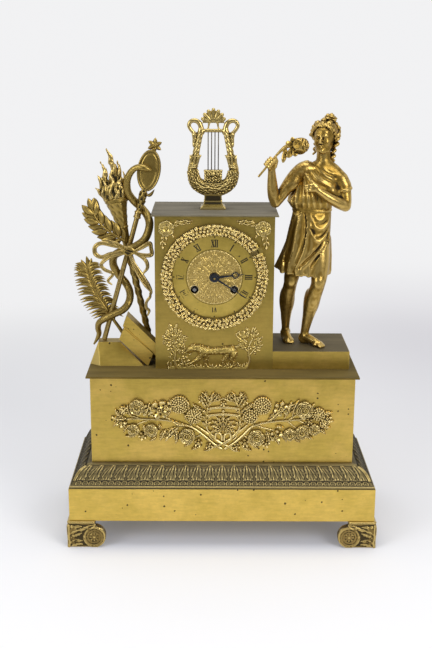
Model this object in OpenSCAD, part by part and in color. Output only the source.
// Gilt bronze mantel clock: a stepped case with a square dial tower, a standing figure and a
// trophy on its terrace, a lyre on top, and a striking movement with a short pendulum inside.
// Millimetres. X runs right, Y runs back, Z up; the origin is under the middle of the feet.

/* [Base] */
// Width of the plinth
plinth_w = 307; // [290:330]
// Depth of the plinth
plinth_d = 139.2; // [132:155]
// Height of the plinth
plinth_h = 34.9; // [28:45]
// Wall of the hollow cast boxes
wall = 3; // [2:0.5:5]
// Height of the feet
foot_h = 28.3; // [26:34]
// Width of one face of a foot
foot_w = 38.5; // [34:46]
// How far the feet stand proud of the plinth
foot_proud = 3.4; // [2:0.2:6]
// Thickness of a foot's plates
foot_t = 9; // [6:14]
// Height of the leaf moulding
mould_h = 20; // [15:28]
// How far the leaf moulding draws in
mould_run = 21.75; // [16:0.25:26]
// Number of leaves along the front of the moulding
leaf_n = 21; // [15:2:27]
// Height of the block
block_h = 89.5; // [75:105]
// How far the block stands in from the back of the plinth
block_back = 3.6; // [2:0.2:8]
// Thickness of the terrace slab
terrace_t = 1.8; // [1.2:0.2:4]
// Overhang of the terrace slab
terrace_lip = 3.8; // [2:0.2:6]

/* [Tower] */
// Width of the dial tower
tower_w = 118; // [112:130]
// Depth of the dial tower
tower_d = 83.2; // [80:90]
// Height of the dial tower
tower_h = 155.6; // [150:170]
// Sideways place of the tower
tower_x = -8.65; // [-12:0.05:-4]
// How far the tower stands back from the front of the block
tower_set = 24.7; // [18:30]
// Wall of the tower
tower_wall = 2.5; // [2:0.5:4]
// Thickness of the cap plate
cap_t = 1.2; // [0.8:0.2:3]
// Overhang of the cap plate
cap_lip = 3.6; // [2:0.2:5]
// Height of the dial centre above the terrace
dial_up = 95.2; // [93:98]
// Width of the figure's pedestal
ped_w = 77.9; // [70:82]
// Depth of the figure's pedestal
ped_d = 69.1; // [60:80]
// Height of the figure's pedestal
ped_h = 18.55; // [16:22]
// Height of the trophy above the terrace
trophy_h = 228.6; // [215:240]
// Height of the lyre
lyre_h = 100.4; // [92:108]

/* [Dial] */
// Outer radius of the wreath bezel
bezel_r = 53; // [51:55]
// Opening radius of the wreath bezel
dial_r = 42; // [39:44]
// How far the wreath stands out
bezel_rise = 8; // [6:9]
// Radius of the floral centre
centre_r = 27.2; // [25:30]
// Thickness of the dial plate
dial_t = 1.5; // [1:0.25:2]
// Radius of a winding hole
wind_r = 4; // [3.5:0.25:4.5]
// Length of the hour hand
hour_l = 32; // [28:36]
// Length of the minute hand
minute_l = 40.8; // [38:41]
// Where the bezel hinge lies, in degrees above three o'clock
hinge_turn = 32.7; // [25:40]

/* [Movement] */
// Radius of the plates
plate_r = 44; // [43:45]
// Thickness of the plates
plate_t = 2; // [1.5:0.25:2.5]
// Space between the plates
plate_gap = 27; // [26:29]
// How far the winding squares lie to each side
barrel_x = 19.65; // [19.4:0.05:20]
// How far the winding squares lie below the dial centre
barrel_down = 12.6; // [12:0.1:13]
// Length from the pendulum's pivot to the middle of its bob
pendulum_l = 111; // [104:113]
// Radius of the pendulum bob
bob_r = 13; // [10:14]
// Radius of the bell
bell_r = 34; // [30:35]
// Thickness of the train wheels
wheel_t = 1.2; // [1:0.1:1.4]
/* [Hidden] */
$fn = 48;
great_n = 84;                    // teeth of the barrels
second_n = 72;                   // teeth of the going second wheel and the strike second wheel
centre_n = 84;
third_n = 84;
escape_n = 36;
pin_n = 60;                      // teeth of the pin wheel and the warning wheel
fit = 0.06;                      // running clearance of a pivot in its hole
air = 0.3;                       // clearance between pieces that only lie near each other
z_plinth = foot_h;
z_mould = z_plinth + plinth_h;
z_block = z_mould + mould_h;
z_terrace = z_block + block_h;
z_floor = z_terrace + terrace_t;
z_cap = z_floor + tower_h;
z_top = z_cap + cap_t;
y_base = -plinth_d / 2;          // plinth front
y_block = y_base + mould_run;    // block front
block_w = plinth_w - 2 * mould_run;
block_d = plinth_d - mould_run - block_back;
y_tower = y_block + tower_set;   // tower front
y_rear = y_tower + tower_d;      // tower back
side_left = tower_x - tower_w / 2;
side_right = tower_x + tower_w / 2;
dial_z = z_floor + dial_up;
y_dial = y_tower - 1;            // face of the dial plate
y_plate = y_tower + 11.2;        // front face of the front plate
y_in = y_plate + plate_t;        // inner face of the front plate
y_out = y_in + plate_gap;        // inner face of the back plate
y_back = y_out + plate_t;        // outer face of the back plate
y_pend = y_back + 11;            // plane of the pendulum
hinge_r = bezel_r - 0.8;         // reach of the bezel hinge from the dial centre
y_hinge = y_tower - bezel_rise + 1.2;
door_r = plate_r + 3;            // rear door
y_door_pin = y_rear + 3.3;       // hinge of the rear door
pillar_r = plate_r - 4.5;

// Arbors, seen from the front, measured from the dial centre
GO = [barrel_x, -barrel_down];
GO2 = [12, 7.2];
CENTRE = [0, 0];
THIRD = [-3, 12.85];
ESCAPE = [0, 23.3];
ANCHOR = [0, 35.05];
MOTION = [0, -9.8];
ST = [-barrel_x, -barrel_down];
ST2 = [-23.34, 8.34];
PIN = [-15.63, 17.53];
WARN = [-13.9, 27.3];
FLY = [-20.1, 29.5];
COUNT = [-27, -1.8];
HAMMER = [-30, 24];
LEVER = [-12, -27];
BELL = [0, -4];
CLICK = [9.2, 3.2];              // click screw from its winding arbor, mirrored for the strike
PILLARS = [-90, 20, 160, 60];

// Colours as the photograph shows them
gilt = [0.78, 0.66, 0.30];
gilt_old = [0.62, 0.53, 0.26];
dark = [0.40, 0.36, 0.29];
brass = [0.76, 0.64, 0.33];
steel = [0.55, 0.56, 0.58];
blued = [0.13, 0.15, 0.19];

// Placing helpers

// A flat outline drawn as seen from the front, stood up from y to y + t
module upright(y, t) {
    translate([0, y + t, 0]) rotate([90, 0, 0]) linear_extrude(t) children();
}

// A round bar along Y
module axle(r, y0, y1) {
    translate([0, y1, 0]) rotate([90, 0, 0]) cylinder(r = r, h = y1 - y0);
}

// A turned form along Y: its profile gives radius and y
module turned() {
    rotate([-90, 0, 0]) rotate_extrude() children();
}

// Moves to an arbor of the movement
module at(p) {
    translate([tower_x + p[0], 0, dial_z + p[1]]) children();
}

module both_sides() {
    children();
    mirror([1, 0, 0]) children();
}

// A round rod between two points
module rod(a, b, r) {
    d = b - a;
    l = norm(d);
    translate(a) rotate([0, acos(d[2] / l), atan2(d[1], d[0])]) cylinder(r = r, h = l);
}

// A flat bar between two points of an outline
module bar(a, b, w) {
    d = (b - a) / norm(b - a);
    n = [-d[1], d[0]] * w / 2;
    polygon([a + n, a - n, b - n, b + n]);
}

// A flat pointed leaf from a to b
module blade(a, b, w) {
    d = b - a;
    n = [-d[1], d[0]] / norm(d) * w / 2;
    polygon([a, a + 0.3 * d - n * 0.85, a + 0.55 * d - n, a + 0.8 * d - n * 0.6, b,
        a + 0.8 * d + n * 0.6, a + 0.55 * d + n, a + 0.3 * d + n * 0.85]);
}

// Swept and lofted forms

function unit(v) = v / norm(v);
function cat(a, b, c, d, t) = 0.5 * (2 * b + (c - a) * t + (2 * a - 5 * b + 4 * c - d) * t * t
    + (3 * b - a - 3 * c + d) * t * t * t);
// A smooth line through the points, with n steps between each two; it takes numbers too
function smooth(p, n) = let (m = len(p) - 1) [for (i = [0:m - 1], k = [0:n - 1])
    cat(p[max(i - 1, 0)], p[i], p[i + 1], p[min(i + 2, m)], k / n), p[m]];
function along(p, i) = unit(p[min(i + 1, len(p) - 1)] - p[max(i - 1, 0)]);
// Radii of a section: one number for a round one, or its size across and through
function pair(r) = is_num(r) ? [r, r] : r;
function section(c, t, r, n) = let (v = unit(cross(t, [0, 1, 0])), u = cross(t, v))
    [for (k = [0:n - 1]) c + r[0] * cos(k * 360 / n) * v + r[1] * sin(k * 360 / n) * u];
// Skins closed rings of n points each
function skin(m, n) = concat([[for (k = [0:n - 1]) k]],
    [for (i = [0:m - 2], k = [0:n - 1]) each let (a = i * n + k, b = i * n + (k + 1) % n)
        [[a, a + n, b], [b, a + n, b + n]]],
    [[for (k = [n - 1:-1:0]) (m - 1) * n + k]]);
module sweep(p, r, n = 8) {
    rings = [for (i = [0:len(p) - 1]) each section(p[i], along(p, i), pair(r[i]), n)];
    polyhedron(rings, skin(len(p), n), convexity = 6);
}
// A smooth swept line: points and radii given sparsely, with k steps between
module cord(p, r, n = 8, k = 3) sweep(smooth(p, k), smooth(r, k), n);
// A stack of level oval rings [x, y, z, rx, ry, fold depth, turn of the oval] with f folds
module loft(rings, f, n = 36) {
    p = [for (q = rings) each [for (k = [0:n - 1]) let (a = k * 360 / n,
        s = 1 + q[5] * cos(f * a + q[2] * 2), x = q[3] * s * cos(a), y = q[4] * s * sin(a))
        [q[0] + x * cos(q[6]) - y * sin(q[6]), q[1] + x * sin(q[6]) + y * cos(q[6]), q[2]]]];
    polyhedron(p, skin(len(rings), n), convexity = 8);
}

// Case

module box_shell(w, y, d, z, h, t, top = 0) {
    difference() {
        translate([-w / 2, y, z]) cube([w, d, h]);
        translate([-w / 2 + t, y + t, z - 1]) cube([w - 2 * t, d - 2 * t, h - top + (top > 0 ? 1 : 2)]);
    }
}

// Outline of one face of a foot, from its outer corner inwards
module foot_face() {
    r = foot_h * 0.405;
    c = [foot_w - r, r];
    translate(c) circle(r);
    polygon([[2, foot_h], [foot_w * 0.72, foot_h], [foot_w * 0.86, foot_h * 0.8], c,
        [foot_w * 0.4, foot_h * 0.06], [10, 0], [3, 0], [0.6, 2], [1.6, foot_h * 0.3],
        [0, foot_h * 0.6], [0.8, foot_h * 0.9]]);
}

// One plate of a foot with its raised volute, as seen from the front
module foot_plate(y) {
    r = foot_h * 0.405;
    upright(y + 0.9, foot_t - 0.9) foot_face();
    upright(y, 0.9) {
        translate([2, foot_h - 2.2]) square([foot_w * 0.68, 2.2]);
        translate([foot_w - r, r]) {
            difference() {
                circle(r);
                circle(r - 1.8);
            }
            difference() {
                circle(r - 3.2);
                circle(r - 4.6);
            }
            for (a = [0:45:315]) rotate(a) translate([r * 0.3, 0]) circle(r * 0.13);
            circle(r * 0.16);
        }
        for (s = [[3, 4, 12, 3], [2, 9, 13, 12], [2, 15, 14, 19], [2, 21, 12, 25]])
            blade([s[0], s[1]], [s[2], s[3]], 5);
    }
}

module foot() {
    foot_plate(0);
    mirror([1, -1, 0]) foot_plate(0);
}

module feet() color(gilt) {
    x = plinth_w / 2 + foot_proud;
    y = plinth_d / 2 + foot_proud;
    for (sx = [0, 1], sy = [0, 1]) mirror([sx, 0, 0]) mirror([0, sy, 0]) translate([-x, -y, 0]) foot();
}

module plinth_case() color(gilt) {
    box_shell(plinth_w, y_base, plinth_d, z_plinth, plinth_h, wall, wall);
}

// The moulding's profile: inset from the plinth's face and height, as shares of run and rise
mould_line = [[0.03, 0], [0.03, 0.13], [0.14, 0.15], [0.22, 0.24], [0.29, 0.42], [0.4, 0.64],
    [0.57, 0.84], [0.78, 0.96], [1, 1]];
function mould_ring(q, z0) = let (i = q[0] * mould_run, x = plinth_w / 2 - i, z = z0 + q[1] * mould_h,
    back = plinth_d / 2 - block_back) [[-x, y_base + i, z], [x, y_base + i, z], [x, back, z], [-x, back, z]];

// One leaf on the slope of the moulding: its foot on the lip, its tip bent over the top
module stiff_leaf(w) {
    p = [for (q = [2:len(mould_line) - 1]) let (s = mould_line[q]) [s[0] * mould_run, s[1] * mould_h]];
    half = [0.45, 0.5, 0.5, 0.47, 0.38, 0.24, 0.05];
    rings = [for (k = [0:len(p) - 1]) each [[-w * half[k], p[k][0] + 0.4, p[k][1] - 0.3],
        [0, p[k][0] - 1.1, p[k][1] + 0.7 * (1 - half[k])], [w * half[k], p[k][0] + 0.4, p[k][1] - 0.3],
        [0, p[k][0] + 1.2, p[k][1] - 1]]];
    polyhedron(rings, skin(len(p), 4), convexity = 4);
}

module leaf_moulding() color(gilt_old) {
    inner_w = block_w - 2 * wall;
    pitch = block_w / leaf_n;
    side_n = round(block_d / pitch);
    difference() {
        polyhedron([for (q = mould_line) each mould_ring(q, z_mould)],
            skin(len(mould_line), 4), convexity = 4);
        translate([-inner_w / 2, y_block + wall, z_mould - 1])
            cube([inner_w, block_d - 2 * wall, mould_h + 2]);
    }
    for (k = [0:leaf_n - 1]) translate([(k - (leaf_n - 1) / 2) * pitch, y_base, z_mould])
        stiff_leaf(pitch * 0.94);
    both_sides() for (k = [0:side_n - 1])
        translate([plinth_w / 2, y_block + (k + 0.5) * block_d / side_n, z_mould])
            rotate([0, 0, 90]) stiff_leaf(block_d / side_n * 0.94);
}

module block_case() color(gilt) {
    box_shell(block_w, y_block, block_d, z_block, block_h, wall);
}

module terrace_slab() color(dark) {
    translate([-block_w / 2 - terrace_lip, y_block - terrace_lip, z_terrace])
        cube([block_w + 2 * terrace_lip, block_d + 1.5 * terrace_lip, terrace_t]);
}

module tower_case() color(gilt) {
    translate([tower_x, 0, 0]) difference() {
        box_shell(tower_w, y_tower, tower_d, z_floor, tower_h, tower_wall);
        translate([0, 0, dial_z]) {
            axle(dial_r + 4, y_tower - 1, y_tower + tower_wall + 1);
            axle(door_r - 1.5, y_rear - tower_wall - 1, y_rear + 1);
        }
    }
    at(CENTRE) rotate([0, -hinge_turn, 0]) difference() {
        translate([hinge_r - 1, y_hinge, -bezel_r * 0.055])
            cube([3.4, y_tower - y_hinge, bezel_r * 0.11]);
        translate([hinge_r, y_hinge + 1, -10]) cylinder(r = 0.6 + fit, h = 20);
    }
}

module cap_plate() color(dark) {
    translate([tower_x - tower_w / 2 - cap_lip, y_tower - cap_lip, z_cap])
        cube([tower_w + 2 * cap_lip, tower_d + 2 * cap_lip, cap_t]);
}

module figure_pedestal() color(gilt) {
    x = side_right;
    difference() {
        translate([x, y_tower, z_floor]) cube([ped_w, ped_d, ped_h]);
        translate([x + wall, y_tower + wall, z_floor - 1])
            cube([ped_w - 2 * wall, ped_d - 2 * wall, ped_h - wall + 1]);
    }
}

// Applied mounts

// A rose head on a face that looks to the front
module rose_boss(x, z, r, y, rise) {
    translate([x, y, z]) {
        axle(r, -rise * 0.45, 0);
        axle(r * 0.72, -rise * 0.75, 0);
        axle(r * 0.36, -rise, 0);
    }
}

// One garland of the block's mount: [x, z, radius] of its blooms from the middle outwards
garland = [[26.5, 5, 7.6], [35, 19, 7], [50, 9, 8.4], [37, -15, 8.2], [63, 8, 7], [71, -10, 6.5],
    [81, 12, 8], [87, -8, 6], [96, 8, 5.5], [101, -1, 4.5]];
garland_leaves = [[[12, -13], [27, -27], 6], [[44, 0], [56, -24], 9], [[58, 0], [60, 22], 9],
    [[92, 2], [97, -15], 7], [[95, 3], [111, 0], 6], [[18, -13], [44, -25], 5], [[66, 1], [74, -20], 8]];
// Height of the garland's stem at x
function garland_stem(x) = x < 44 ? (x - 44) * 0.516 + 1 : 1 + (x - 44) * 0.045;

module base_mount() color(gilt_old) {
    rise = 7;
    translate([0.7, 0, z_block + block_h / 2]) {
        both_sides() {
            for (g = garland) rose_boss(g[0], g[1], g[2], y_block, rise);
            upright(y_block - rise * 0.4, rise * 0.4) {
                for (l = garland_leaves) blade(l[0], l[1], l[2]);
                for (g = garland) bar([g[0], g[1]], [g[0] - 3, garland_stem(g[0] - 3)], 2);
                bar([-3, -29], [14, -14], 3);
                bar([13, -15], [44, 1], 2.6);
                bar([43, 0.5], [96, 3], 2.2);
                bar([12, -12], [19, 14], 3);
                for (k = [0:4]) blade([19 - k * 3, 12 + k * 2.6], [25 - k * 5, 26 + k * 1.3], 5);
            }
        }
        upright(y_block - rise * 0.5, rise * 0.5) {
            translate([-17, 8]) square([34, 3]);
            translate([-17, 14]) square([34, 3]);
            for (k = [-2:2]) blade([k * 2.5, -21], [k * 6, 11 - abs(k)], 6);
        }
    }
}

module corner_mounts() color(gilt_old) {
    rise = 2.6;
    translate([tower_x, 0, z_cap]) both_sides() {
        rose_boss(tower_w / 2 - 11.6, -11.9, 7.4, y_tower, rise + 1);
        upright(y_tower - rise * 0.5, rise * 0.5) {
            c = [tower_w / 2 - 11.6, -11.9];
            for (k = [0:2]) {
                blade(c - [6 + k * 5, -2 - k * 1.2], c - [13 + k * 5, -5.5 - k], 4);
                blade(c + [2 + k, -6 - k * 5], c + [4.5 + k * 0.6, -13 - k * 4], 4);
            }
        }
    }
}

// A small tree of the lower mount, from its root
module low_tree(lean) {
    bar([0, 0], [4 * lean, 16], 2.6);
    bar([4 * lean, 15], [2 * lean, 28], 2);
    for (q = [[-3, 24], [5, 30], [0, 38], [9, 22], [3, 33], [7, 37], [-5, 33]])
        translate([q[0] * lean, q[1]]) circle(5.2);
}

module beast_mount() color(gilt_old) {
    room = dial_up - bezel_r;        // height between the terrace and the wreath
    translate([tower_x, 0, z_floor + 1]) upright(y_tower - 2, 2) scale([tower_w / 118, room / 42.2]) {
        translate([-49, 0]) square([83, 2.6]);
        translate([-46, 0]) low_tree(1);
        translate([33, 0]) low_tree(1.1);
        polygon([[-30, 17], [-24, 22], [-14, 22.5], [8, 22.5], [20, 20], [23, 24], [20, 31], [24, 34],
            [27, 28], [25, 19], [20, 16.5], [15, 16], [17, 12], [20, 8], [19, 1], [14, 1], [15, 7],
            [9, 13], [5, 12], [6, 1], [2, 1], [1, 11], [-8, 10], [-8, 1], [-12, 1], [-12, 11],
            [-17, 10], [-23, 5], [-29, 2], [-29, 5], [-22, 12], [-28, 12.5]]);
    }
}

// Lyre

// The lyre in one line from its foot over an arm to a swan's beak: points and radii from its axis
lyre_half = [[9, 21], [17.5, 27], [20.6, 38], [19, 49], [16.4, 60], [13.6, 72], [12.2, 80],
    [14.2, 87], [20, 91], [26, 88], [26.6, 82], [23, 76.5], [20.9, 71], [20.6, 65]];
lyre_half_r = [6.6, 6, 5.2, 4.6, 3.4, 3.2, 2.8, 2.6, 2.5, 2.4, 2.2, 2.3, 1.8, 0.8];
lyre_y = y_tower + tower_d / 2;
function stand(p) = [for (q = p) [q[0], 0, q[1]]];
function flip(p) = [for (k = [len(p) - 1:-1:0]) p[k]];
lyre_line = concat([for (q = flip(lyre_half)) [-q[0], 0, q[1]]], [[0, 0, 20]], stand(lyre_half));
lyre_line_r = concat(flip(lyre_half_r), [6.8], lyre_half_r);

// Sets what is drawn about the lyre's own foot on the cap, at its height
module on_cap() {
    translate([tower_x - 1.7, lyre_y, z_top]) scale(lyre_h / 100.4) children();
}

module lyre() color(gilt) {
    on_cap() {
        cord(lyre_line, lyre_line_r, 12, 2);
        translate([-13.9, -1.9, 76]) cube([27.8, 3.8, 3.6]);
        translate([-9, -3.3, 24.5]) cube([18, 6.6, 14.4]);
        hull() {
            translate([-12.7, -8.7, 0]) cube([25.4, 17.4, 2]);
            translate([-9.6, -6.5, 6]) cube([19.2, 13, 0.6]);
        }
        translate([-8.9, -5.7, 6]) cube([17.8, 11.4, 9]);
        upright(-1.7, 3.4) {
            translate([-4.9, 79]) square([1.8, 8]);
            translate([3.1, 79]) square([1.8, 8]);
            translate([0, 86.6]) circle(3.4);
            for (a = [-72:24:72]) translate([0, 86]) rotate(-a) palmette_leaf(15 - abs(a) * 0.03);
        }
    }
}

// A round-ended leaf of the palmette
module palmette_leaf(l) {
    polygon([[-1, 1], [1, 1], [2.3, l - 3], [-2.3, l - 3]]);
    translate([0, l - 3]) circle(2.4);
}

module lyre_strings() color(steel) {
    on_cap() for (k = [-1.5:1:1.5]) rod([k * 3.4, 0, 38.9], [k * 3.4, 0, 76], 0.55);
}

// Wreath bezel and dial

module wreath_bezel() color(gilt) {
    y0 = y_tower - air;
    n = 36;
    at(CENTRE) {
        difference() {
            union() {
                turned() polygon([[dial_r, y0 - 1.3], [dial_r, y0 - 3.2], [dial_r + 1.2, y0 - 4.4],
                    [dial_r + 4, y0 - bezel_rise + 2.2], [bezel_r - 3.2, y0 - bezel_rise + 2.2],
                    [bezel_r - 0.4, y0 - 3.6], [bezel_r, y0 - 1.5], [bezel_r, y0], [dial_r + 4.6, y0],
                    [dial_r + 4.6, y0 - 1.3]]);
                for (k = [0:n - 1]) let (a = hinge_turn + 180 / n * (2 * k + 1),
                    r = k % 2 == 0 ? dial_r + 4.6 : bezel_r - 4.2) translate([r * cos(a), 0, r * sin(a)]) {
                    axle(2.9, y0 - bezel_rise + 0.8, y0 - 3);
                    axle(1.5, y0 - bezel_rise + 0.3, y0 - 3);
                }
            }
            rotate([0, -hinge_turn, 0]) translate([hinge_r - 1.4 - air, y0 - bezel_rise - 2,
                -bezel_r * 0.055 - air]) cube([8, bezel_rise + 4, bezel_r * 0.11 + 2 * air]);
        }
        rotate([0, -hinge_turn, 0]) {
            translate([hinge_r, y_hinge + 1, -6]) cylinder(r = 0.6, h = 12);
            for (s = [0, 1]) mirror([0, 0, s]) translate([hinge_r - 2.2, y_hinge, bezel_r * 0.055 + air])
                cube([3, y0 - y_hinge - 1, 2.6]);
        }
    }
}

module dial_holes(y0, y1) {
    axle(4.2, y0, y1);
    for (s = [-1, 1]) translate([s * barrel_x, 0, -barrel_down]) axle(wind_r, y0, y1);
}

module dial_plate() color(gilt) {
    at(CENTRE) {
        difference() {
            union() {
                axle(dial_r + 3.6, y_dial, y_dial + dial_t);
                for (a = [30, 150, 270]) rotate([0, -a, 0]) translate([plate_r - 3, 0, 0])
                    axle(1.4, y_dial + dial_t / 2, y_plate);
            }
            dial_holes(y_dial - 1, y_dial + dial_t + 1);
        }
    }
}

module dial_centre() color(gilt_old) {
    t = 0.9;
    at(CENTRE) difference() {
        union() {
            axle(centre_r, y_dial - t, y_dial);
            for (k = [0:11]) rotate([0, k * 30 + 15, 0]) translate([0, y_dial - t, 0]) {
                upright(-0.35, 0.45) blade([0, 7], [0, 16], 5);
                upright(-0.35, 0.45) blade([5, 14.5], [5, 25.5], 6);
            }
        }
        dial_holes(y_dial - 3, y_dial + 1);
    }
}

// Figure: a youth in a short belted tunic, the right arm raised with a rose. It is drawn beside a
// tower whose side is at x 50.35, on a pedestal whose top is at z 193.05 and its middle at y 11.4.

elbow_h = 138.25;                // from the soles to the cap that the raised elbow passes over
module on_pedestal() {
    translate([side_right, y_tower + ped_d / 2, z_floor + ped_h])
        scale((z_top - z_floor - ped_h) / elbow_h) translate([-50.35, -11.4, -193.05]) children();
}

leg_right = [[77, 13, 300], [73, 10, 280], [68.5, 9, 257], [66, 17, 234], [66.4, 25, 213], [66.3, 26.4, 197.6]];
leg_left = [[98, 9, 300], [100, 3, 280], [98.5, 0, 257], [93, 3, 234], [87, 7, 213], [84, 8.3, 197.6]];
leg_r = [[10.5, 11], [9, 10], [6.6, 7], [6.7, 7.6], [4.2, 4.8], [3, 3]];
// Tunic, neck, head and hair from the hem to the knot of hair, as rings of the loft
trunk = [[81.5, 13, 265, 26.5, 19.5, 0.12, -6], [81.4, 13, 268, 27.5, 20.5, 0.12, -6],
    [83, 12.5, 281, 26.5, 19, 0.11, -6], [86, 12, 296, 24.5, 17.5, 0.09, -6],
    [88.5, 11.5, 312, 23, 16, 0.07, -6], [90, 11.5, 326, 21.4, 14.4, 0.05, -6],
    [90, 12, 332, 19, 12.3, 0.02, -6], [90.4, 11.8, 335, 19.6, 12.6, 0.02, -6],
    [91.6, 11, 340, 21.4, 14, 0.05, -6], [93.5, 11, 348, 21.5, 14, 0.04, -6],
    [96, 11.5, 358, 20.5, 12.5, 0.03, -6], [98, 12, 368, 18, 10.5, 0.02, -4],
    [99, 12.5, 375, 11, 8, 0.01, 4], [99.8, 12.3, 380, 6.2, 6.4, 0, 14], [99.8, 11.6, 384, 6, 6.6, 0, 22],
    [99.6, 9.6, 388, 6.8, 9, 0, 22], [99.4, 9.6, 392, 8.6, 11, 0, 22], [99.1, 10.4, 398, 9.9, 12.4, 0, 22],
    [98.8, 11.2, 404, 10.7, 13.2, 0, 22], [98.6, 11.8, 406, 12, 14.4, 0.05, 22],
    [98.6, 12.2, 411, 12.2, 14.2, 0.05, 22], [99, 12.6, 415.4, 10, 11.8, 0.05, 22],
    [100, 13, 418.8, 6, 7, 0.04, 22], [101.4, 13.4, 420.4, 3.6, 3.8, 0.03, 22],
    [102.6, 13.8, 423, 5, 5, 0.05, 22], [102.8, 13.8, 425.6, 4, 4, 0.05, 22], [102.8, 13.8, 426.8, 1.6, 1.6, 0, 22]];
shoulder = [[92, 12, 372.7], [80, 10.8, 368.4]];
upper_right = [[77.56, 10.55, 367.54], [75, 10.2, 366.2], [63, 6.6, 352], [53.5, 3.4, 341], [50.6, 2.2, 337.6]];
upper_right_r = [7.7, 7.6, 6.4, 5.6, 2.8];
seam_right = [79.9, 10.79, 368.38];
fore_right = [[51.6, 2.9, 334.6], [48.9, 1.1, 340], [47.2, 0, 349], [47.6, -2, 366], [46.6, -3.4, 373],
    [45.4, -4.2, 379], [44.4, -4.6, 384]];
fore_right_r = [2.4, 5, 5.4, 3.2, 3.8, 4.8, 2];
upper_left = [[110, 12, 368], [119, 11, 360], [123, 6.4, 347], [123.2, 1.6, 336.6]];
upper_left_r = [8.2, 8.2, 6.6, 3.6];
fore_left = [[126, 2.4, 332.8], [120.5, -2.2, 337], [110, -7, 343.4], [98, -10.5, 351], [88, -11, 356],
    [83.4, -11.6, 357.8], [79.8, -12, 359]];
fore_left_r = [2.2, 5.3, 5, 3.8, 3.2, 4.2, 1.8];

// A bare foot, flat on its sole
module bare_foot(heel, toe) {
    d = unit(toe - heel);
    hull() {
        translate(heel) cylinder(r = 3.7, h = 6.5, $fn = 12);
        translate(heel + d * 3.4) cylinder(r = 3.5, h = 11, $fn = 12);
        translate(toe - d * 5.4) cylinder(r = 4.9, h = 3, $fn = 12);
        translate(toe - d * 2.8) cylinder(r = 2.8, h = 2.1, $fn = 12);
    }
}

module figure_body() color(gilt) {
    on_pedestal() {
        cord(leg_right, leg_r, 10, 2);
        cord(leg_left, leg_r, 10, 2);
        bare_foot([65.5, 27.5, 193.05], [69.7, 0, 193.05]);
        bare_foot([81.6, 10, 193.05], [104, -11, 193.05]);
        loft(trunk, 9, 30);
        sweep(shoulder, [7.2, 7.8], 12);
        cord(upper_left, upper_left_r, 10, 2);
        cord(fore_left, fore_left_r, 10, 2);
        translate([99.1, 10.4, 398]) rotate([0, 0, 22]) hull() {
            translate([-0.5, -12.6, 5]) cube([1, 2, 0.6]);
            translate([-1.4, -14.2, 0]) cube([2.8, 3, 1.4]);
        }
    }
}

// The stem passes through the closed hand in a bore
stem_line = [[35.7, -7.4, 365.7], [39, -6.6, 371], [49.5, -4.4, 383.6], [59, -5.6, 388.4], [68, -7, 392.6]];

module figure_right_arm() color(gilt) {
    on_pedestal() difference() {
        union() {
            sweep(concat([seam_right], smooth(upper_right, 2)), concat([7.6], smooth(upper_right_r, 2)), 12);
            cord(fore_right, fore_right_r, 12, 2);
        }
        loft(trunk, 9, 30);
        rod(stem_line[1], stem_line[2], 1.3, $fn = 12);
    }
}

module rose_stem() color(gilt_old) {
    on_pedestal() {
        sweep(stem_line, [0.9, 1, 1.1, 1.2, 1.3], 8);
        translate([76, -7, 394]) rotate([0, 68, 0]) loft([[0, 0, -8.4, 2.2, 2.2, 0, 0],
            [0, 0, -5.6, 5, 5, 0.05, 0], [0, 0, -1.4, 7, 7, 0.09, 0], [0, 0, 3, 7.4, 7.4, 0.12, 0],
            [0, 0, 6.4, 5.6, 5.6, 0.12, 0], [0, 0, 8, 2.4, 2.4, 0.06, 0]], 5, 20);
        translate([0, -6.6, 0]) upright(0, 1.3) {
            blade([53, 385.4], [58, 373.5], 6);
            blade([60, 388], [67, 403], 6.6);
        }
    }
}

// Trophy: everything that stands on the rocky ground at the left. It is drawn beside a tower whose
// side is at x -67.65 and its front at y -23.15, on a terrace at z 174.5.

ground = 174.5;
module on_terrace() {
    translate([side_left, y_tower, z_floor]) scale(trophy_h / 228.6)
        translate([67.65, 23.15, -ground]) children();
}

module trophy_ground() color(gilt_old) {
    on_terrace() hull() {
        translate([-124.7, -15, ground]) cube([44.4, 30, 0.4]);
        translate([-135.3, -8, ground]) cube([12, 21, 0.4]);
        translate([-127.4, -2.6, ground + 21.4]) cube([23, 15, 0.4]);
    }
}

// Two slim books that lean between the rock and the tower
module book() color(gilt_old) on_terrace() {
    end = -67.75;                // just clear of the tower
    upright(-14, 20) polygon([[-104.8, ground + 28], [-100, ground + 39.6], [-70.7, ground + 13],
        [-75.6, ground + 0.05], [-78, ground + 1.6]]);
    upright(-12.6, 18) polygon([[-100.3, ground + 37], [-99.4, ground + 41.4], [end - 2, ground + 12],
        [-74, ground + 12]]);
    upright(-11.5, 18) polygon([[-101.2, ground + 41], [-97, ground + 52.4], [end, ground + 22.8],
        [end, ground + 9.8]]);
}

torch_y = 11.9;
torch_top = [-107.8, torch_y, 342.4];
torch_end = [-70.8, torch_y, 175.3];
torch_l = norm(torch_top - torch_end);

// Tongues of flame above the torch's rim: sideways, height, thickness
flames = [[-10, 8, 3], [-5, 18, 3.4], [0.6, 33, 4.6], [6, 27, 4], [11, 17, 3.4], [1.3, 46, 3.4],
    [-8, 28, 3.2], [-15, 12, 2.6], [15, 12.4, 2.8]];

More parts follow.
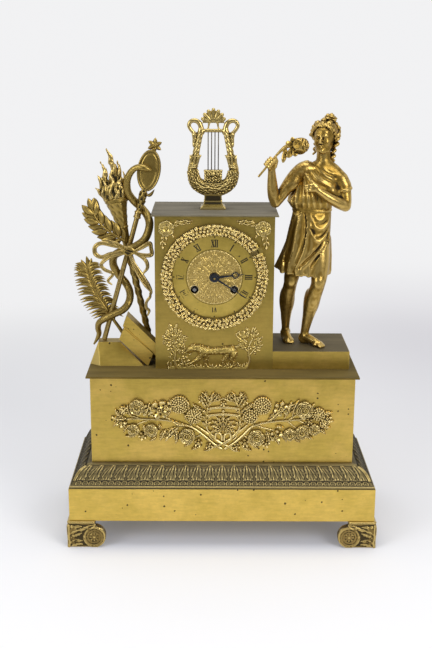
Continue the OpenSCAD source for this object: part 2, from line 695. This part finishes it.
module torch() color(gilt) on_terrace() {
    d = unit(torch_top - torch_end);
    translate(torch_end) rotate([0, atan2(d[0], d[2]), 0])
        rotate_extrude($fn = 20) polygon([[0, 0], [2.8, 0], [3.2, 40], [3.4, 95], [4.2, torch_l - 45],
            [4.8, torch_l - 34], [8.2, torch_l - 13], [11.6, torch_l - 3], [11.9, torch_l], [0, torch_l]]);
    translate(torch_top) for (q = flames) hull() {
        translate([q[0] * 0.45, 0, 0.7]) sphere(r = q[2] + 1.6, $fn = 8);
        translate([q[0] * 0.95, 0.4, q[1] * 0.55]) sphere(r = q[2] * 0.75, $fn = 8);
        translate([q[0], 0.1, q[1]]) sphere(r = 0.8, $fn = 6);
    }
}

staff_low = [-121.8, 5, 197];
staff_top = [-84.9, 5, 329.5];
mirror_at = [-73.9, 5, 371];

function oval(a, b, n) = [for (k = [0:n - 1]) [a * cos(k * 360 / n), b * sin(k * 360 / n)]];

module mirror_staff() color(gilt) on_terrace() {
    d = unit(staff_top - staff_low);
    translate(staff_low) rotate([0, atan2(d[0], d[2]), 0]) {
        l = norm(staff_top - staff_low);
        rotate_extrude() polygon([[0, 0], [2.5, 0], [2.5, l - 5], [3.5, l - 4.4], [3.5, l], [2.9, l + 1],
            [3.4, l + 8], [4.6, l + 14], [3.6, l + 24], [0, l + 24]]);
    }
    translate(mirror_at) rotate([0, 9, 0]) {
        upright(-2.2, 4.4) polygon(oval(10.8, 19.8, 28));
        upright(-3, 6) difference() {
            polygon(oval(11.5, 20.5, 28));
            polygon(oval(10, 19, 28));
        }
    }
    translate([-67.9, 5, 395.5]) {
        upright(-1.2, 2.4) for (k = [0:5]) rotate(k * 60) blade([0, -1], [0, 7.6], 4.4);
        axle(2, -2, 2);
    }
}

// The serpent winds behind the staff, before the knot, behind the staff again and before it
serpent_line = [[-76, -1.8, 371.5], [-82, -1.4, 374.5], [-88.5, 0, 373.6], [-95.5, 3, 363], [-95, 5, 350],
    [-90, 10, 340.5], [-83, 13.2, 333], [-76, 8, 325], [-73.8, 1, 316], [-78.4, -3, 303.5], [-89, -4.6, 295.8],
    [-101, -4.4, 291.6], [-109.6, 2, 285.5], [-111.4, 9, 275], [-107, 12.4, 264.5], [-99, 12.6, 254.5],
    [-94.8, 7, 246], [-95.6, 1, 237.6], [-101.2, -2, 230.6], [-110.4, -2.4, 226], [-119.1, -2.2, 221.6],
    [-126.1, 0, 216.2], [-127.8, 3, 209.4], [-127.2, 6, 203.4], [-129.2, 8, 197.4], [-133.1, 8, 190.8]];
serpent_r = [1, 3.2, 2.6, 3.4, 3.7, 3.9, 4, 4, 4, 4, 4, 4, 4, 4, 4, 3.9, 3.8, 3.8, 3.7, 3.6, 3.5, 3.2, 2.9, 2.6,
    2, 0.8];

module serpent() color(gilt_old) on_terrace() {
    cord(serpent_line, serpent_r, 8, 2);
}

// A branch of pairs of leaves along a stem, as flat shapes stood up at y
module branch(stem, y, pairs, leaf_l, leaf_w, spread) {
    m = len(stem) - 1;
    upright(y - 1, 2) {
        for (k = [0:m - 1]) bar(stem[k], stem[k + 1], 2.6);
        for (k = [0:pairs - 1]) let (t = 0.25 + 0.72 * k / (pairs - 1), i = min(floor(t * m), m - 1),
            c = stem[i] + (stem[i + 1] - stem[i]) * (t * m - i), a = atan2(stem[i + 1][1] - stem[i][1],
            stem[i + 1][0] - stem[i][0])) for (s = [-1, 1])
            blade(c, c + leaf_l * [cos(a + s * spread), sin(a + s * spread)], leaf_w);
        end = unit(stem[m] - stem[m - 1]);
        blade(stem[m] - 2 * end, stem[m] + leaf_l * end, leaf_w);
    }
}

module laurel_branch() color(gilt_old) on_terrace() {
    branch([[-98.6, 299], [-108, 305], [-118, 312], [-127, 322], [-131, 331]], 6.1, 6, 15, 7, 42);
}

module palm_branch() color(gilt_old) on_terrace() {
    branch([[-105.6, 207], [-113.4, 221], [-120.4, 233], [-126, 249], [-132, 262], [-137, 271]], 8.9, 13, 15, 4, 52);
    upright(7.9, 2) bar([-100.4, ground + 23.2], [-106.6, 209], 3.2);
}

// A flat ribbon through points in the plane of the trophy
module ribbon(p, y, w) {
    q = smooth(p, 3);
    for (k = [0:len(q) - 2]) bar(q[k], q[k + 1] + unit(q[k + 1] - q[k]) * 0.4, w);
}

module ribbon_bow() color(gilt_old) on_terrace() {
    upright(-11.8, 2.8) {
        translate([-93.8, 293.4]) circle(5.5);
        ribbon([[-88, 292], [-80, 296], [-73.5, 298], [-73, 286], [-80, 286], [-89, 291]], 0, 3);
        ribbon([[-100, 295], [-112, 300], [-122, 298], [-122, 291], [-117, 284], [-108, 288], [-99, 292]], 0, 3);
        ribbon([[-88, 290], [-78, 284], [-76, 276], [-80, 266]], 0, 3);
        ribbon([[-90, 288], [-82, 268], [-73, 256], [-72, 246], [-77, 238], [-74, 226]], 0, 3);
        ribbon([[-98, 290], [-108, 284], [-115, 276], [-113, 272], [-107, 268]], 0, 3);
    }
}

// Back of the case

module rear_bezel() color(brass) {
    at(CENTRE) {
        difference() {
            axle(door_r + 5.5, y_rear, y_rear + 1.6);
            axle(door_r - 1.5, y_rear - 1, y_rear + 3);
        }
        for (s = [-1, 1]) translate([door_r + 3.8, y_door_pin, s * 6]) difference() {
            translate([-1.6, y_rear + 1 - y_door_pin, -2.6]) cube([3.2, 4, 5.2]);
            translate([0, 0, -4]) cylinder(r = 0.7 + fit, h = 8);
        }
    }
}

module rear_door() color(brass) {
    y0 = y_rear + 1.6 + air;
    at(CENTRE) {
        turned() polygon([[0, y0 + 1.4], [0, y0 + 2.4], [door_r * 0.8, y0 + 1.8], [door_r, y0 + 1],
            [door_r, y0], [door_r - 4, y0], [door_r - 4, y0 + 0.5]]);
        translate([door_r + 3.8, y_door_pin, 0]) {
            cylinder(r = 0.7, h = 17, center = true);
            translate([0, 0, -2.9]) cylinder(r = 1.5, h = 5.8);
        }
        translate([door_r - 3, y0, -2.9]) cube([5.6, 1, 5.8]);
        translate([-door_r + 5, 0, 0]) {
            axle(1.3, y0 + 1, y0 + 3);
            axle(2.4, y0 + 3, y0 + 4.4);
        }
    }
}

// Gearing, seen from the front, all angles anticlockwise from three o'clock

function gap(a, b) = norm(b - a);
function bearing(a, b) = atan2(b[1] - a[1], b[0] - a[0]);
// Pitch radius of the gear with na teeth that meets one with nb teeth at distance d
function pitch_r(d, na, nb) = d * na / (na + nb);
// Phase of a gear with nb teeth that meshes at bearing a with one of na teeth and phase pa
function mesh(na, pa, nb, a) = a + 180 - (na * (pa - a) / 360 - 0.5) * 360 / nb;
function polar(r, a) = [r * cos(a), r * sin(a)];

// A gear outline with straight slender teeth
module gear(r, n, phase = 0) {
    m = 2 * r / n;
    w = 360 / n * 0.35;
    polygon([for (k = [0:n - 1]) let (a = phase + k * 360 / n) each [
        polar(r - 1.25 * m, a - 0.6 * w), polar(r + 0.8 * m, a - 0.28 * w),
        polar(r + 0.8 * m, a + 0.28 * w), polar(r - 1.25 * m, a + 0.6 * w)]]);
}

// A crossed-out wheel
module wheel(r, n, phase, hub, arms = 4) {
    m = 2 * r / n;
    rim = r - 1.25 * m - max(0.9, r * 0.09);
    difference() {
        gear(r, n, phase);
        difference() {
            circle(rim);
            circle(hub);
            for (k = [0:arms - 1]) rotate(k * 360 / arms) translate([0, -r * 0.055])
                square([r, r * 0.11]);
        }
    }
}

// An arbor between the plates with its two pivots
module arbor(r, pivot) {
    axle(r, y_in + 0.2, y_out - 0.2);
    axle(pivot, y_plate, y_back);
}

// Levels of the wheels, from the inner face of the front plate
lv_second = y_in + 0.8;
lv_centre = y_in + 3.8;
lv_pin = y_in + 5;
lv_great = y_in + 7;
lv_warn = y_in + 12;
lv_third = y_in + 16;
lv_escape = y_in + 21;
great_t = 1.8;

go2_pinion = pitch_r(gap(GO, GO2), 12, great_n);
go2_r = pitch_r(gap(GO2, CENTRE), second_n, 8);
centre_pinion = pitch_r(gap(GO2, CENTRE), 8, second_n);
centre_wheel_r = pitch_r(gap(CENTRE, THIRD), centre_n, 8);
third_pinion = pitch_r(gap(CENTRE, THIRD), 8, centre_n);
third_r = pitch_r(gap(THIRD, ESCAPE), third_n, 6);
escape_pinion = pitch_r(gap(THIRD, ESCAPE), 6, third_n);
escape_r = (ANCHOR[1] - ESCAPE[1]) * cos(40);
cannon_r = pitch_r(gap(CENTRE, MOTION), 14, 42);
motion_r = pitch_r(gap(CENTRE, MOTION), 42, 14);
motion_pinion = pitch_r(gap(CENTRE, MOTION), 10, 40);
hour_r = pitch_r(gap(CENTRE, MOTION), 40, 10);
st2_pinion = pitch_r(gap(ST, ST2), 12, great_n);
st2_r = pitch_r(gap(ST2, PIN), second_n, 8);
pin_pinion = pitch_r(gap(ST2, PIN), 8, second_n);
pin_r = pitch_r(gap(PIN, WARN), pin_n, 6);
warn_pinion = pitch_r(gap(PIN, WARN), 6, pin_n);
warn_r = pitch_r(gap(WARN, FLY), pin_n, 6);
fly_pinion = pitch_r(gap(WARN, FLY), 6, pin_n);
count_gear = pitch_r(gap(ST2, COUNT), 40, 32);
count_drive = pitch_r(gap(ST2, COUNT), 32, 40);
square_r = 2.1;                  // half width over the corners of a winding square
ratchet_r = 6.4;

module barrel(p, q) {
    r = pitch_r(gap(p, q), great_n, 12);
    at(p) difference() {
        union() {
            upright(lv_great, great_t) gear(r, great_n, 0);
            axle(r - 2.4, lv_great + great_t, lv_great + 18);
            axle(3.4, lv_great - 0.8, lv_great + 18.8);
        }
        axle(2 + fit, lv_great - 2, lv_great + 20);
        turned() polygon([[2.05, lv_great + great_t], [r - 3.6, lv_great + great_t],
            [r - 3.6, lv_great + 16.8], [2.05, lv_great + 16.8]]);
    }
}

module winding_arbor(p) {
    at(p) {
        axle(2, y_plate + 0.2, y_out - 0.2);
        axle(1.3, y_out - 0.2, y_back);
        axle(1.6, y_plate - 3, y_plate + 0.4);
        upright(y_plate - 1.8, 1.4) ratchet(p[0] > 0 ? 1 : -1);
        translate([0, y_dial - 1.5, 0]) rotate([-90, 0, 0])
            cylinder(r = square_r, h = y_plate - 3 - y_dial + 1.5, $fn = 4);
    }
}

module ratchet(way) {
    n = 16;
    polygon([for (k = [0:n - 1]) each [polar(ratchet_r, way * k * 360 / n),
        polar(ratchet_r - 1.1, way * (k * 360 / n + 3))]]);
}

module going_barrel() color(brass) barrel(GO, GO2);
module strike_barrel() color(brass) barrel(ST, ST2);
module going_arbor() color(steel) winding_arbor(GO);
module strike_arbor() color(steel) winding_arbor(ST);

// A click on its screw, its nose just outside the ratchet, as it lies by the strike's arbor
module click() {
    c = [-CLICK[0], CLICK[1]];
    nose = unit(c + [0, 4.6]) * (ratchet_r + 0.25);
    difference() {
        upright(y_plate - 1.8, 1.4) {
            translate(c) circle(1.9);
            polygon([c + [-1.5, 0.7], c + [0.5, -1.4], nose, nose + [-0.6, 1.4]]);
        }
        translate([c[0], 0, c[1]]) axle(0.8 + fit, y_plate - 3, y_plate + 1);
    }
}

module going_click() color(steel) at(GO) mirror([1, 0, 0]) click();
module strike_click() color(steel) at(ST) click();

module going_second_wheel() color(brass) at(GO2) {
    arbor(1.1, 0.6);
    upright(lv_great - 0.7, great_t + 1.4)
        gear(go2_pinion, 12, mesh(great_n, 0, 12, bearing(GO, GO2)));
    upright(lv_second, wheel_t) wheel(go2_r, second_n, 0, 3);
}

module centre_wheel() color(brass) at(CENTRE) {
    axle(0.9, y_in + 0.2, y_out - 0.2);
    axle(0.9, y_dial - 7.8, y_in + 1);
    axle(0.8, y_out - 1, y_back);
    upright(lv_second - 0.4, wheel_t + 0.8)
        gear(centre_pinion, 8, mesh(second_n, 0, 8, bearing(GO2, CENTRE)));
    upright(lv_centre, 1) wheel(centre_wheel_r, centre_n, 0, 2.6);
}

module cannon_pinion() color(steel) at(CENTRE) difference() {
    union() {
        upright(y_plate - 2.4, 1.8) gear(cannon_r, 14, 0);
        axle(1.5, y_dial - 5.6, y_plate - 0.4);
    }
    axle(0.9 + fit, y_dial - 9, y_plate + 1);
}

module third_wheel() color(brass) at(THIRD) {
    arbor(0.7, 0.45);
    upright(lv_centre - 0.9, 2.8) gear(third_pinion, 8, mesh(centre_n, 0, 8, bearing(CENTRE, THIRD)));
    upright(lv_third, 0.9) wheel(third_r, third_n, 0, 2);
}

module escape_wheel() color(brass) at(ESCAPE) {
    axle(0.55, y_in + 0.2, lv_third - 0.8);
    axle(0.38, lv_third - 1, lv_third + 2);
    axle(0.55, lv_third + 1.7, y_out - 0.2);
    axle(0.35, y_plate, y_back);
    upright(lv_third - 0.8, 2.5) gear(escape_pinion, 6, mesh(third_n, 0, 6, bearing(THIRD, ESCAPE)));
    upright(lv_escape, 1) difference() {
        polygon([for (k = [0:escape_n - 1]) let (a = 5 + k * 360 / escape_n) each [
            polar(escape_r - 1.5, a - 2.6), polar(escape_r, a - 0.5),
            polar(escape_r, a + 0.6), polar(escape_r - 1.5, a + 2.2)]]);
        difference() {
            circle(escape_r - 2.6);
            circle(1.8);
            for (k = [0:3]) rotate(k * 90) translate([0, -0.45]) square([escape_r, 0.9]);
        }
    }
}

// Anchor above the escape wheel, with the crutch that takes the pendulum rod behind the plate
module anchor() color(steel) at(ANCHOR) {
    nose = (escape_r + 0.06) * [sin(40), cos(40)] - [0, ANCHOR[1] - ESCAPE[1]];
    out = [sin(40), cos(40)];
    tang = [cos(40), -sin(40)];
    axle(0.8, y_in + 0.2, y_back + 3.4);
    axle(0.45, y_plate, y_back + 5.6);
    upright(lv_escape - 0.1, 1.2) {
        circle(1.9);
        both_sides() {
            bar([0, 0.4], nose + out * 2.2 + tang * 0.9, 1.5);
            polygon([nose - tang * 0.28, nose + tang * 0.28, nose + out * 2.8 + tang * 1.4,
                nose + out * 1.8 - tang * 0.5]);
        }
    }
    rod([0, y_back + 2.6, 0], [0, y_back + 2.6, -52], 0.7);
    for (s = [-1, 1]) rod([s * 1.75, y_back + 2.6, -52], [s * 1.75, y_pend + 1.6, -52], 0.6);
    rod([-2.3, y_back + 2.6, -52], [2.3, y_back + 2.6, -52], 0.7);
}

module suspension_cock() color(brass) at(ANCHOR) difference() {
    union() {
        for (s = [-1, 1]) translate([s * 10, 0, 3.4]) axle(2, y_back, y_back + 4.2);
        upright(y_back + 4.2, 1.5) {
            translate([-12, -2.6]) square([24, 8]);
        }
        axle(0.8, y_back + 5.7, y_pend + 2.6);
        axle(1.8, y_pend + 1.6, y_pend + 2.6);
    }
    axle(0.45 + fit, y_back + 3, y_back + 5.7);
}

module pendulum() color(brass) at(ANCHOR) {
    difference() {
        union() {
            axle(2.2, y_pend - 1.2, y_pend + 1.2);
            rod([0, y_pend, -1.6], [0, y_pend, -pendulum_l - bob_r - 4.4], 0.8);
        }
        axle(0.8 + fit, y_pend - 3, y_pend + 3);
    }
    translate([0, 0, -pendulum_l]) {
        turned() polygon([[0, y_pend - 3.6], [bob_r * 0.6, y_pend - 2.8], [bob_r, y_pend - 0.4],
            [bob_r, y_pend + 0.4], [bob_r * 0.6, y_pend + 2.8], [0, y_pend + 3.6]]);
        translate([0, y_pend, -bob_r - 3.4]) cylinder(r = 2.8, h = 2.2);
    }
}

module strike_second_wheel() color(brass) at(ST2) {
    arbor(1.1, 0.6);
    axle(0.6, y_back, y_back + 1);
    axle(1, y_back + 0.3, y_back + 3.4);
    upright(lv_great - 0.7, great_t + 1.4)
        gear(st2_pinion, 12, mesh(great_n, 0, 12, bearing(ST, ST2)));
    upright(lv_second, wheel_t) wheel(st2_r, second_n, 0, 3);
    upright(y_back + 2.2, 1) gear(count_drive, 32, 0);
}

module pin_wheel() color(brass) at(PIN) {
    arbor(0.85, 0.5);
    upright(lv_second - 0.4, wheel_t + 0.8)
        gear(pin_pinion, 8, mesh(second_n, 0, 8, bearing(ST2, PIN)));
    upright(lv_pin, 1) wheel(pin_r, pin_n, 0, 2.4);
    for (k = [0:7]) rotate([0, k * 45, 0]) translate([pin_r - 1.6, 0, 0])
        axle(0.45, lv_pin + 0.4, lv_pin + 4);
}

module warning_wheel() color(brass) at(WARN) {
    axle(0.6, y_in + 0.2, lv_pin - 0.5);
    axle(0.5, lv_pin - 0.6, lv_pin + 1.6);
    axle(0.6, lv_pin + 1.5, y_out - 0.2);
    axle(0.4, y_plate, y_back);
    upright(lv_pin - 0.5, 2) gear(warn_pinion, 6, mesh(pin_n, 0, 6, bearing(PIN, WARN)));
    upright(lv_warn, 0.8) wheel(warn_r, pin_n, 0, 1.6);
}

module fly() color(brass) at(FLY) {
    axle(0.5, y_in + 0.2, lv_warn - 0.7);
    axle(0.3, lv_warn - 0.8, lv_warn + 1.6);
    axle(0.5, lv_warn + 1.5, y_out - 0.2);
    axle(0.3, y_plate, y_back);
    upright(lv_warn - 0.7, 2.2) gear(fly_pinion, 6, mesh(pin_n, 0, 6, bearing(WARN, FLY)));
    translate([-5, lv_warn + 2.6, -0.3]) cube([10, 9, 0.6]);
    axle(1, lv_warn + 2.6, lv_warn + 11.6);
}

// Count wheel behind the back plate: each notch holds the one blow of the half hour, and the
// rim between two notches counts an hour's blows
blows = [for (h = [1:12]) each [h, 1]];
function run_to(k) = k == 0 ? 0 : run_to(k - 1) + blows[k - 1];
module count_wheel() color(brass) at(COUNT) {
    r = count_gear * 2.1;
    axle(1.4, y_back + 0.3, y_back + 5.4);
    axle(0.6, y_out, y_back + 1);
    upright(y_back + 2.2, 1) gear(count_gear, 40, mesh(32, 0, 40, bearing(ST2, COUNT)));
    upright(y_back + 3.6, 1.2) difference() {
        circle(r);
        for (k = [0:11]) let (a = 4 * run_to(2 * k + 1) - 1.2, b = 4 * run_to(2 * k + 2) + 1.2)
            polygon([polar(r - 1.3, a), polar(r + 1, a), polar(r + 1, b), polar(r - 1.3, b)]);
        for (k = [0:3]) rotate(k * 90 + 45) translate([r * 0.55, 0]) circle(r * 0.2);
    }
}

module hammer() color(steel) {
    head = [-8.8, -18.4];
    at(HAMMER) {
        arbor(0.9, 0.5);
        axle(0.5, y_back, y_back + 1.5);
        axle(0.9, y_back + 0.3, y_back + 4.6);
        upright(lv_pin + 2, 1.2) {
            circle(1.8);
            bar([0, 0], unit(PIN - HAMMER) * (gap(PIN, HAMMER) - pin_r + 0.9), 1.4);
        }
        rod([0, y_back + 3.8, 0], [head[0], y_back + 19, head[1]], 0.8);
        translate([head[0], y_back + 19, head[1]]) rotate([0, 90 + 14, 0])
            cylinder(r = 3, h = 7, center = true);
    }
}

module bell() color(brass) at(BELL) {
    y0 = y_back + 17;
    difference() {
        turned() polygon([[0, y0 + 17.4], [bell_r * 0.4, y0 + 16.8], [bell_r * 0.7, y0 + 14],
            [bell_r * 0.9, y0 + 8], [bell_r * 0.97, y0 + 2], [bell_r, y0],
            [bell_r - 1.8, y0], [bell_r * 0.97 - 2, y0 + 2.4], [bell_r * 0.9 - 2, y0 + 7.4],
            [bell_r * 0.7 - 1.6, y0 + 12.2], [bell_r * 0.4, y0 + 14.8], [0, y0 + 15.4]]);
        axle(1.6, y0 + 10, y0 + 20);
    }
}

module bell_stand() color(steel) {
    y0 = y_back + 17;
    foot_at = [26, -30];
    at(BELL) {
        axle(1.5, y_pend + 3.4, y0 + 18.6);
        axle(3, y0 + 14, y0 + 15.3);
        axle(3, y0 + 17.5, y0 + 19);
    }
    at(CENTRE) {
        rod([foot_at[0], y_back, foot_at[1]], [foot_at[0], y_pend + 5.4, foot_at[1]], 1.8);
        upright(y_pend + 3.4, 2) {
            translate(foot_at) circle(3);
            bar(foot_at, BELL, 4);
            translate(BELL) circle(3);
        }
        upright(y_back, 1.6) translate(foot_at) circle(3.6);
    }
}

module strike_lever() color(steel) at(LEVER) difference() {
    upright(y_plate - 4.6, 1.2) {
        circle(2.2);
        bar([0, 0], [0.6, 15], 1.8);
        bar([0.6, 14.2], [-1.6, 34], 1.8);
        bar([-1.6, 33], [-9, 39], 1.8);
        bar([0, 0], [5, 5], 1.6);
    }
    axle(0.8 + fit, y_plate - 6, y_plate);
}

module minute_wheel() color(brass) at(MOTION) difference() {
    union() {
        upright(y_plate - 2.2, 1.2) wheel(motion_r, 42, mesh(14, 0, 42, bearing(CENTRE, MOTION)), 2.6);
        upright(y_plate - 5.4, 3.4) gear(motion_pinion, 10, 0);
    }
    axle(0.8 + fit, y_plate - 7, y_plate + 1);
}

module hour_wheel() color(brass) at(CENTRE) difference() {
    union() {
        upright(y_plate - 5, 1.2) wheel(hour_r, 40, mesh(10, 0, 40, bearing(MOTION, CENTRE)), 3.6);
        axle(2.4, y_dial - 3.4, y_plate - 3.8);
    }
    axle(1.5 + fit, y_dial - 6, y_plate - 2);
}

// Hands

hour_turn = 7;                   // degrees above three o'clock
minute_turn = -32;

module hour_hand() color(blued) at(CENTRE) rotate([0, -hour_turn, 0]) {
    eye = hour_l * 0.65;
    upright(y_dial - 3, 0.8) {
        difference() {
            union() {
                circle(4.6);
                polygon([[3, -1.1], [eye - 2.4, -0.6], [eye - 2.4, 0.6], [3, 1.1]]);
                translate([eye, 0]) circle(3.4);
                polygon([[eye + 3, -0.9], [hour_l - 7, -0.5], [hour_l, 0], [hour_l - 7, 0.5], [eye + 3, 0.9]]);
            }
            circle(2.4 + fit);
            translate([eye, 0]) circle(2.2);
        }
    }
}

module minute_hand() color(blued) at(CENTRE) rotate([0, -minute_turn, 0]) {
    upright(y_dial - 5, 0.8) difference() {
        union() {
            circle(4);
            polygon([[3, -0.9], [minute_l * 0.6, -0.6], [minute_l, 0], [minute_l * 0.6, 0.6], [3, 0.9]]);
        }
        circle(1.5 + fit);
    }
    difference() {
        axle(3.2, y_dial - 7, y_dial - 4.6);
        axle(0.9 + fit, y_dial - 8, y_dial - 5);
        axle(1.5 + fit, y_dial - 5.65, y_dial - 4);
    }
}

// Plates

module hole(p, r, y0, y1) translate([p[0], 0, p[1]]) axle(r, y0, y1);

pivots = [[GO2, 0.6], [THIRD, 0.45], [ESCAPE, 0.35], [ST2, 0.6], [PIN, 0.5], [WARN, 0.4],
    [FLY, 0.3], [HAMMER, 0.5]];

module front_plate() color(brass) at(CENTRE) {
    difference() {
        axle(plate_r, y_plate, y_in);
        for (p = pivots) hole(p[0], p[1] + fit, y_plate - 1, y_in + 1);
        hole(ANCHOR, 0.45 + fit, y_plate - 1, y_in + 1);
        hole(CENTRE, 0.9 + fit, y_plate - 1, y_in + 1);
        for (p = [GO, ST]) hole(p, 2 + fit, y_plate - 1, y_in + 1);
    }
    hole(MOTION, 0.8, y_plate - 6, y_plate);
    hole(LEVER, 0.8, y_plate - 5.4, y_plate);
    for (s = [-1, 1]) hole([s * (barrel_x + CLICK[0]), CLICK[1] - barrel_down], 0.8, y_plate - 2.6, y_plate);
}

module back_plate() color(brass) at(CENTRE) {
    difference() {
        axle(plate_r, y_out, y_back);
        for (p = pivots) hole(p[0], p[1] + fit, y_out - 1, y_back + 1);
        hole(ANCHOR, 1.2, y_out - 1, y_back + 1);
        hole(CENTRE, 0.8 + fit, y_out - 1, y_back + 1);
        hole(COUNT, 0.6 + fit, y_out - 1, y_back + 1);
        for (p = [GO, ST]) hole(p, 1.3 + fit, y_out - 1, y_back + 1);
    }
    for (a = PILLARS) hole(polar(pillar_r, a), 2.6, y_in, y_out);
}

module movement_straps() color(brass) at(CENTRE) {
    for (s = [-1, 1]) translate([s * (plate_r + air + 0.75), 0, 0]) {
        translate([-0.75, y_tower + tower_wall, -4]) cube([1.5, tower_d - 2 * tower_wall, 8]);
        translate([s > 0 ? -0.75 : -5.25, y_rear - tower_wall - 1.5, -4]) cube([6, 1.5, 8]);
        translate([s > 0 ? -0.75 : -5.25, y_tower + tower_wall, -4]) cube([6, 1.5, 8]);
    }
}

feet();
plinth_case();
leaf_moulding();
block_case();
base_mount();
terrace_slab();
tower_case();
cap_plate();
lyre();
lyre_strings();
corner_mounts();
beast_mount();
wreath_bezel();
dial_plate();
dial_centre();
figure_pedestal();
figure_body();
figure_right_arm();
rose_stem();
trophy_ground();
book();
torch();
mirror_staff();
serpent();
laurel_branch();
palm_branch();
ribbon_bow();
rear_bezel();
rear_door();
front_plate();
back_plate();
movement_straps();
going_barrel();
going_arbor();
going_click();
going_second_wheel();
centre_wheel();
cannon_pinion();
third_wheel();
escape_wheel();
anchor();
suspension_cock();
pendulum();
strike_barrel();
strike_arbor();
strike_click();
strike_second_wheel();
pin_wheel();
warning_wheel();
fly();
count_wheel();
hammer();
bell();
bell_stand();
strike_lever();
minute_wheel();
hour_wheel();
hour_hand();
minute_hand();
